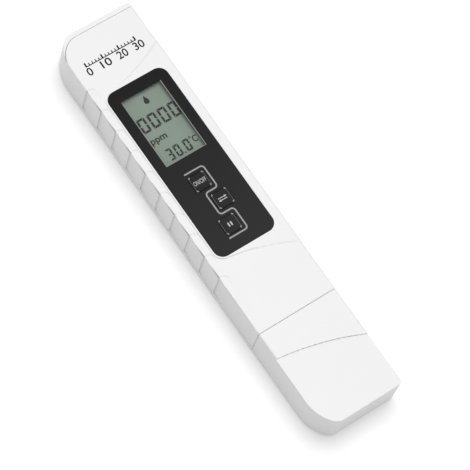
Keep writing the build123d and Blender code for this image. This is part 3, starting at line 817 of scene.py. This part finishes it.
def line_points():
    """Corners of the line that passes round the three keys in turn."""
    first, second, third = (sum(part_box(name), Vector()) / 2 for name in KEY_NAMES)
    left = second.x - LINE_LEFT
    right = first.x + LINE_RIGHT
    upper_bend = (first.y + second.y) / 2
    lower_bend = (second.y + third.y) / 2
    return [
        Vector((first.x - LINE_FIRST_END, first.y + LINE_ABOVE)),
        Vector((right, first.y + LINE_ABOVE)),
        Vector((right, upper_bend)),
        Vector((left, upper_bend)),
        Vector((left, lower_bend)),
        Vector((right + LINE_WIDENING, lower_bend)),
        Vector((right + LINE_WIDENING, third.y - LINE_BELOW)),
        Vector((third.x - LINE_LAST_END, third.y - LINE_BELOW)),
    ]


# Parts of the keys
def key_mesh(name, middle, half_x, half_y, corner, low, high):
    """Flange, straight sides, raised rim and a flat dish sunk a little below it."""
    flange_top = low + KEY_FLANGE_DEPTH
    profile = [(-KEY_FLANGE, low), (-KEY_FLANGE, flange_top), (0.0, flange_top)]
    profile += [(inset, high - depth) for inset, depth in KEY_RIM]
    rings = []
    for inset, height in profile:
        radius = max(corner - inset, KEY_SMALLEST_RADIUS)
        outline = rounded_outline(half_x - inset, half_y - inset, radius, KEY_CORNER_STEPS)
        rings.append([(middle.x + x, middle.y + y, height) for x, y in outline])
    mesh = lofted_form(name, rings, high - KEY_DISH)
    mesh.shade_smooth()
    mesh.set_sharp_from_angle(angle=math.radians(KEY_SHARP_ANGLE))
    return mesh


def corner_marks(middle, half_x, half_y, corner):
    """Four small rounded triangles of painted highlight on the rim's corners."""
    outlines = []
    outer, inner = corner - GLINT_OUTER, corner - GLINT_INNER
    for quarter, centre in enumerate(corner_centres(half_x, half_y, corner)):
        x, y = middle.x + centre[0], middle.y + centre[1]
        turns = [
            math.pi / 2 * quarter + math.radians(GLINT_FIRST + GLINT_SPAN * step / GLINT_STEPS)
            for step in range(GLINT_STEPS + 1)
        ]
        across = turns[GLINT_STEPS // 2]
        patch = [(x + outer * math.cos(turn), y + outer * math.sin(turn)) for turn in turns]
        outlines.append(patch + [(x + inner * math.cos(across), y + inner * math.sin(across))])
    return outlines


def edge_marks(middle, half_x, half_y, corner):
    """Thin lines of painted sheen along the rim's left and right sides."""
    low, high = middle.y - half_y + corner, middle.y + half_y - corner
    inner, outer = half_x - SHEEN_INNER, half_x - SHEEN_OUTER
    return [box_outline(middle.x + side * inner, middle.x + side * outer, low, high) for side in (-1, 1)]


def key_symbol(name, middle, base, material):
    """ON/OFF in words on the first key, two arrows on the second, two bars on the third."""
    if name == "on_off_key":
        half_x, half_y = WORDS_HALF_WIDTH * MM, WORDS_HALF_HEIGHT * MM
        return lettering(f"{name}_symbol", "ON/OFF", middle.x - half_x, middle.x + half_x,
                         middle.y - half_y, middle.y + half_y, base, material)
    if name == "shift_key":
        shapes = [[(side * x, side * ARROW_ROW + y) for x, y in ARROW] for side in (-1, 1)]
    else:
        shapes = [
            box_outline(x - BAR_HALF_WIDTH, x + BAR_HALF_WIDTH, -BAR_HALF_HEIGHT, BAR_HALF_HEIGHT)
            for x in BAR_PLACES
        ]
    outlines = [[(middle.x + x * MM, middle.y + y * MM) for x, y in shape] for shape in shapes]
    return link(f"{name}_symbol", plate_mesh(f"{name}_symbol", outlines, base, base + MARK_HEIGHT), material)


# Parts of the display
def rim_points():
    """Path of the painted highlight along the window's lit edge, from its upper right corner, along the
    lower end and part of the left side.
    """
    inset = RIM_WIDTH / 2
    right = DISPLAY_LEFT + DISPLAY_WIDTH - inset
    left = DISPLAY_LEFT + inset
    low = DISPLAY_TOP - DISPLAY_LENGTH + inset
    return [
        Vector((right, DISPLAY_TOP)),
        Vector((right, low)),
        Vector((left, low)),
        Vector((left, DISPLAY_TOP - DISPLAY_LENGTH * RIM_LEFT_SHARE)),
    ]


def display_place(x, y):
    """A place in the display, shifted, from millimetres right of its left edge and below its top."""
    return DISPLAY_LEFT + x * MM + MARK_SHIFT, DISPLAY_TOP - y * MM + MARK_SHIFT


def large_reading(settings, material, base):
    """Like digits in a row."""
    width, height = LARGE_DIGIT
    outlines = segment_outlines(LIT_SEGMENTS[settings.reading[0]], width * MM, height * MM, settings.stroke)
    pattern = link("large_digit", plate_mesh("large_digit", outlines, 0, MARK_HEIGHT), material)
    first = (*display_place(*LARGE_PLACE), base)
    return repeated("large_reading", pattern, len(settings.reading), first, (LARGE_PITCH * MM, 0, 0))


def small_reading(settings, material, base):
    """Three digits with a square point before the last."""
    width, height = SMALL_DIGIT
    stroke = settings.stroke * SMALL_STROKE
    outlines = []
    for digit, place in SMALL_READING:
        left, foot = display_place(place, SMALL_FOOT)
        shapes = segment_outlines(LIT_SEGMENTS[digit], width * MM, height * MM, stroke)
        outlines += [[(left + x, foot + y) for x, y in shape] for shape in shapes]
    left, foot = display_place(POINT_LEFT, SMALL_FOOT)
    outlines.append(box_outline(left, left + POINT_SIZE * MM, foot, foot + POINT_SIZE * MM))
    return link("small_reading", plate_mesh("small_reading", outlines, base, base + MARK_HEIGHT), material)


def display_marks(settings, material, base):
    """Large reading, small reading with its unit, the unit of the large reading and a drop mark."""
    pieces = [large_reading(settings, material, base), small_reading(settings, material, base)]
    x, y = display_place(*DEGREE_MIDDLE)
    circle = [Vector(point) for point in circle_outline(x, y, DEGREE_RADIUS * MM)]
    ring = ribbon_mesh("degree", [*circle, circle[0]], DEGREE_LINE * MM, base, base + MARK_HEIGHT)
    pieces.append(link("degree", ring, material))
    for words, left_edge, right_edge, top_edge, foot_edge in UNITS:
        left, high = display_place(left_edge, top_edge)
        right, low = display_place(right_edge, foot_edge)
        pieces.append(lettering(f"unit_{words}", words, left, right, low, high, base, material, UNIT_WEIGHT))
    x, foot = display_place(DROP_MIDDLE, DROP_FOOT)
    tip = display_place(DROP_MIDDLE, DROP_TIP)[1]
    drop = plate_mesh("drop", [drop_outline(x, foot, tip, DROP_RADIUS * MM)], base, base + MARK_HEIGHT)
    pieces.append(link("drop", drop, material))
    return pieces


# Settings that a user would change
def tint(name, description, default):
    return bpy.props.FloatVectorProperty(
        name=name, description=description, subtype="COLOR", size=3, default=default
    )


def length(name, description, default):
    return bpy.props.FloatProperty(name=name, description=description, subtype="DISTANCE", default=default)


def share(name, description, default):
    """A setting from 0 to 1."""
    return bpy.props.FloatProperty(
        name=name, description=description, subtype="FACTOR", default=default, min=0, max=1
    )


class TesterShellSettings(bpy.types.PropertyGroup):
    """White housing and cap."""

    color: tint("Shell colour", "Moulded white", (0.83, 0.83, 0.83))
    roughness: share("Roughness", "Satin of the moulding", 0.38)
    smooth_angle: bpy.props.FloatProperty(
        name="Smooth angle", description="Edges sharper than this stay sharp, in degrees", default=24.0
    )
    # Colour of the painted shade line at the foot of the ledge
    line_color: tint("Ledge line", "Shade at the foot of the ledge", (0.5, 0.5, 0.5))
    scale_color: tint("Scale colour", "Ink of the printed scale", (0.004, 0.004, 0.004))
    scale_width: length("Scale width", "From the first number to the last", 19.0 * MM)
    scale_height: length("Number height", "Height of the scale's numbers", 2.85 * MM)


class TesterPanelSettings(bpy.types.PropertyGroup):
    """Black film, its printed line and the keys."""

    dark: tint("Film at the top", "Darkest tone", (0.0045, 0.0045, 0.0048))
    light: tint("Film at the tip end", "Palest tone", (0.021, 0.021, 0.0213))
    line_color: tint("Line colour", "Printed grey line", (0.36, 0.36, 0.36))
    line_width: length("Line width", "Width of the printed line", 0.5 * MM)
    line_radius: length("Line corners", "Radius of the line's corners", 1.1 * MM)
    symbol_color: tint("Symbol colour", "Ink on the keys", (0.55, 0.55, 0.55))
    # Colour of the painted highlights on the key corners
    glint_color: tint("Corner colour", "Bright corners of the keys", (0.3, 0.3, 0.3))
    # Colour of the painted sheen along the keys' left and right edges
    sheen_color: tint("Edge colour", "Painted edges of the keys", (0.12, 0.12, 0.12))
    key_corner: length("Key corners", "Radius of the key pads' corners", 0.9 * MM)


class TesterDisplaySettings(bpy.types.PropertyGroup):
    """Liquid crystal display."""

    film: tint("Reflector colour", "Grey-green ground", (0.215, 0.275, 0.222))
    segment: tint("Segment colour", "Switched segments", (0.002, 0.003, 0.0025))
    reading: bpy.props.StringProperty(
        name="Reading", description="Four digits of one kind, 0 or 3", default="0000"
    )
    stroke: length("Stroke", "Width of the large segments", 0.78 * MM)
    # Colour of the painted highlight along the window's lit edge
    rim: tint("Rim colour", "Edge of the window", (0.3, 0.29, 0.27))
    window_alpha: share("Window haze", "How much the lens hides", 0.02)


class TesterStageSettings(bpy.types.PropertyGroup):
    """Floor, lamps and camera."""

    floor_color: tint("Floor colour", "Pale card", (0.86, 0.86, 0.86))
    floor_lift: bpy.props.FloatProperty(
        name="Floor lift", description="Added to what the camera sees of the floor", default=0.2
    )
    world_strength: bpy.props.FloatProperty(
        name="World strength", description="Even light all round", default=0.5
    )
    key_power: bpy.props.FloatProperty(
        name="Key lamp", description="Sun strength in watts per square metre", default=1.6
    )
    key_angle: bpy.props.FloatProperty(
        name="Key size", description="Apparent size of the key lamp", subtype="ANGLE",
        default=math.radians(40),
    )
    lens: bpy.props.FloatProperty(
        name="Lens", description="Focal length in millimetres", default=220.75
    )


# Operators
class TESTER_OT_shells(bpy.types.Operator):
    """Make the white housing, rear cover, battery door and cap with smooth moulded faces"""

    bl_idname = "tester.shells"
    bl_label = "Housing and cap"

    def execute(self, context):
        settings = context.scene.tester_shell
        white = moulded_plastic("moulded_white", settings.color, settings.roughness)
        for node, body, slot in (
            ("front_shell", "case", "white_shell"),
            ("rear_cover", "case", "white_shell"),
            ("battery_door", "battery_door", "white_shell"),
            ("probe_cap", "probe_cap", "white_cap"),
        ):
            smooth_shell(node, body, slot, white, settings.smooth_angle)
        # Painted shade line at the foot of the ledge, where the step's wall would shade it
        grey = print_and_painted_light("ledge_shade", settings.line_color)
        line = ribbon_mesh("ledge_line", ledge_path(), LEDGE_LINE, LEDGE_HEIGHT, LEDGE_HEIGHT + MARK_HEIGHT)
        settle(link("ledge_line", line, grey), "case", "white_shell")
        return {"FINISHED"}


class TESTER_OT_scale(bpy.types.Operator):
    """Print a plain numbered scale above the panel"""

    bl_idname = "tester.scale"
    bl_label = "Printed scale"

    def execute(self, context):
        settings = context.scene.tester_shell
        black = print_and_painted_light("scale_ink", settings.scale_color, gloss=0.1)
        pieces = scale_parts(settings, black, FACE_HEIGHT)
        settle(joined("printed_scale", pieces), "case", "black_panel")
        return {"FINISHED"}


class TESTER_OT_panel(bpy.types.Operator):
    """Finish the black film and print the grey line that winds round the keys"""

    bl_idname = "tester.panel"
    bl_label = "Panel film"

    def execute(self, context):
        settings = context.scene.tester_panel
        dress(panel_film("black_film", settings.dark, settings.light), "panel_overlay")
        grey = print_and_painted_light("line_ink", settings.line_color)
        path = rounded_path(line_points(), settings.line_radius, LINE_CORNER_STEPS)
        mesh = ribbon_mesh("key_line", path, settings.line_width, PANEL_HIGH.z, PANEL_HIGH.z + MARK_HEIGHT)
        settle(link("key_line", mesh, grey), "case", "black_panel")
        return {"FINISHED"}


class TESTER_OT_keys(bpy.types.Operator):
    """Make the three embossed keys with their symbols, painted corner highlights and painted edge sheen"""

    bl_idname = "tester.keys"
    bl_label = "Keys"

    def execute(self, context):
        settings = context.scene.tester_panel
        corner = settings.key_corner
        film = bpy.data.materials["black_film"]
        white = print_and_painted_light("symbol_ink", settings.symbol_color)
        sheen = print_and_painted_light("edge_sheen", settings.sheen_color)
        glint = print_and_painted_light("corner_glint", settings.glint_color)
        for name in KEY_NAMES:
            low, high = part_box(name)
            middle = (low + high) / 2
            half_x = (high.x - low.x) / 2 - KEY_FLANGE
            half_y = (high.y - low.y) / 2 - KEY_FLANGE
            pad = key_mesh(name, middle, half_x, half_y, corner, low.z, high.z)
            settle(link(f"{name}_pad", pad, film), name, "black_key", name)
            for part, outlines, shine in (
                ("corners", corner_marks(middle, half_x, half_y, corner), glint),
                ("edges", edge_marks(middle, half_x, half_y, corner), sheen),
            ):
                marks = plate_mesh(f"{name}_{part}", outlines, high.z - 2 * MARK_HEIGHT, high.z)
                settle(link(f"{name}_{part}", marks, shine), name, "black_key")
            settle(key_symbol(name, middle, high.z - KEY_DISH, white), name, "black_key")
        return {"FINISHED"}


class TESTER_OT_display(bpy.types.Operator):
    """Make the display: clear window, glasses, grey-green ground and dark segments"""

    bl_idname = "tester.display"
    bl_label = "Display"

    def execute(self, context):
        settings = context.scene.tester_display
        dress(clear_sheet("clear_lens", LENS_TINT, settings.window_alpha, gloss=0.25), "display_window")
        dress(clear_sheet("thin_glass", GLASS_TINT, alpha=0.1, gloss=0.4), "lcd_rear_glass")
        dress(display_film("reflector_film", settings.film), "lcd_front_glass", "lcd_reflector")
        dress(moulded_plastic("frame_plastic", FRAME_GREY, roughness=0.5), "lcd_frame")
        dress(layered_rubber("contact_layers", STRIP_GREY), "zebra_strips")
        black = print_and_painted_light("segment_ink", settings.segment, gloss=0.05)
        settle(joined("display_segments", display_marks(settings, black, GLASS_TOP)), "case", "reflector")
        # Painted highlight where the lit frame edge shows through the window
        rim = ribbon_mesh("window_rim", rim_points(), RIM_WIDTH, WINDOW_HIGH.z, WINDOW_HIGH.z + MARK_HEIGHT)
        settle(link("window_rim", rim, print_and_painted_light("rim_sheen", settings.rim)), "case", "clear_window")
        return {"FINISHED"}


class TESTER_OT_electronics(bpy.types.Operator):
    """Finish the board, its parts, the switches, the cells and their contacts"""

    bl_idname = "tester.electronics"
    bl_label = "Electronics and cells"

    def execute(self, context):
        dress(circuit_board("board_mask", MASK_GREEN, COPPER), "main_board")
        dress(poured_resin("black_resin", RESIN_BLACK), "controller_chip")
        dress(moulded_plastic("component_plastic", COMPONENT_BROWN, roughness=0.5), "board_components")
        steel = plated_metal("drawn_steel", STEEL, roughness=0.22, brush=(1.0, 12.0, 1.0))
        dress(steel, "crystal", "temperature_sensor")
        switch_plastic = moulded_plastic("switch_plastic", SWITCH_BLACK, roughness=0.45)
        dress(switch_plastic, "on_off_switch", "shift_switch", "hold_switch")
        stem_plastic = moulded_plastic("stem_plastic", STEM_CREAM, roughness=0.45)
        dress(stem_plastic, "on_off_switch_stem", "shift_switch_stem", "hold_switch_stem")
        cell_metal = plated_metal("cell_nickel", CELL_NICKEL, roughness=0.2)
        dress(cell_metal, "upper_button_cell", "lower_button_cell")
        strip = plated_metal("contact_strip", CONTACT_NICKEL, roughness=0.28, brush=(1.0, 10.0, 1.0))
        dress(strip, "battery_contact_positive", "battery_contact_negative", "battery_bridge_contact")
        dress(plated_metal("screw_zinc", SCREW_ZINC, roughness=0.3), "case_screws", "board_screws")
        return {"FINISHED"}


class TESTER_OT_probe(bpy.types.Operator):
    """Finish the probe block, its pins and its seal"""

    bl_idname = "tester.probe"
    bl_label = "Probe"

    def execute(self, context):
        black = moulded_plastic("probe_plastic", PROBE_BLACK, roughness=0.42)
        smooth_shell("probe_block", "case", "probe_plastic", black, PROBE_SHARP_ANGLE)
        pin_metal = plated_metal("pin_metal", PIN_METAL, roughness=0.16, brush=(1.0, 8.0, 1.0))
        dress(pin_metal, "electrode_left", "electrode_right")
        dress(soft_rubber("seal_rubber", SEAL_BLACK), "probe_seal_ring")
        return {"FINISHED"}


class TESTER_OT_stage(bpy.types.Operator):
    """Lay the pale floor, hang the lamps and set the camera"""

    bl_idname = "tester.stage"
    bl_label = "Stage"

    def execute(self, context):
        settings = context.scene.tester_stage
        scene = context.scene
        square = box_outline(-FLOOR_REACH, FLOOR_REACH, -FLOOR_REACH, FLOOR_REACH)
        card = stage_card("pale_card", settings.floor_color, settings.floor_lift)
        floor = link("floor", plate_mesh("floor", [square], -FLOOR_THICKNESS, 0.0), card)

        world = bpy.data.worlds.new("studio")
        scene.world = world
        world.use_nodes = True
        ground = world.node_tree.nodes["Background"]
        ground.inputs["Color"].default_value = WHITE
        ground.inputs["Strength"].default_value = settings.world_strength

        sun = bpy.data.lights.new("key_lamp", "SUN")
        sun.energy = settings.key_power
        sun.angle = settings.key_angle
        lamp = bpy.data.objects.new("key_lamp", sun)
        scene.collection.objects.link(lamp)
        lamp.rotation_euler = Vector(LAMP_DIRECTION).to_track_quat("Z", "Y").to_euler()

        lens = bpy.data.cameras.new("camera")
        lens.sensor_width = SENSOR_MM
        lens.lens = settings.lens
        lens.clip_start = NEAREST_SEEN
        camera = bpy.data.objects.new("camera", lens)
        scene.collection.objects.link(camera)
        camera.location = Vector(CAMERA_PLACE_MM) * MM
        camera.rotation_euler = [math.radians(turn) for turn in CAMERA_TURN]
        scene.camera = camera
        scene.view_settings.view_transform = "Standard"
        scene.cycles.transparent_max_bounces = CLEAR_LAYERS
        return {"FINISHED"}


class TESTER_PT_sidebar(bpy.types.Panel):
    """Lists the tester's pieces and their settings"""

    bl_idname = "TESTER_PT_sidebar"
    bl_label = "Pen water tester"
    bl_space_type = "VIEW_3D"
    bl_region_type = "UI"
    bl_category = "Tester"

    def draw(self, context):
        for name, group, operators in SECTIONS:
            box = self.layout.box()
            box.label(text=name)
            if group:
                settings = getattr(context.scene, group)
                for key in settings.__annotations__:
                    box.prop(settings, key)
            for operator in operators:
                box.operator(operator.bl_idname)


SECTIONS = (
    ("Housing", "tester_shell", (TESTER_OT_shells, TESTER_OT_scale)),
    ("Panel", "tester_panel", (TESTER_OT_panel, TESTER_OT_keys)),
    ("Display", "tester_display", (TESTER_OT_display,)),
    ("Inside", None, (TESTER_OT_electronics, TESTER_OT_probe)),
    ("Stage", "tester_stage", (TESTER_OT_stage,)),
)
SETTINGS = {
    "tester_shell": TesterShellSettings,
    "tester_panel": TesterPanelSettings,
    "tester_display": TesterDisplaySettings,
    "tester_stage": TesterStageSettings,
}
OPERATORS = tuple(operator for section in SECTIONS for operator in section[2])
CLASSES = (*SETTINGS.values(), *OPERATORS, TESTER_PT_sidebar)


def register():
    for made in CLASSES:
        bpy.utils.register_class(made)
    for name, group in SETTINGS.items():
        setattr(bpy.types.Scene, name, bpy.props.PointerProperty(type=group))


def unregister():
    for name in SETTINGS:
        delattr(bpy.types.Scene, name)
    for made in reversed(CLASSES):
        bpy.utils.unregister_class(made)


def main():
    register()
    bpy.ops.tester.shells()
    bpy.ops.tester.scale()
    bpy.ops.tester.panel()
    bpy.ops.tester.keys()
    bpy.ops.tester.display()
    bpy.ops.tester.electronics()
    bpy.ops.tester.probe()
    bpy.ops.tester.stage()


if __name__ == "__main__":
    main()
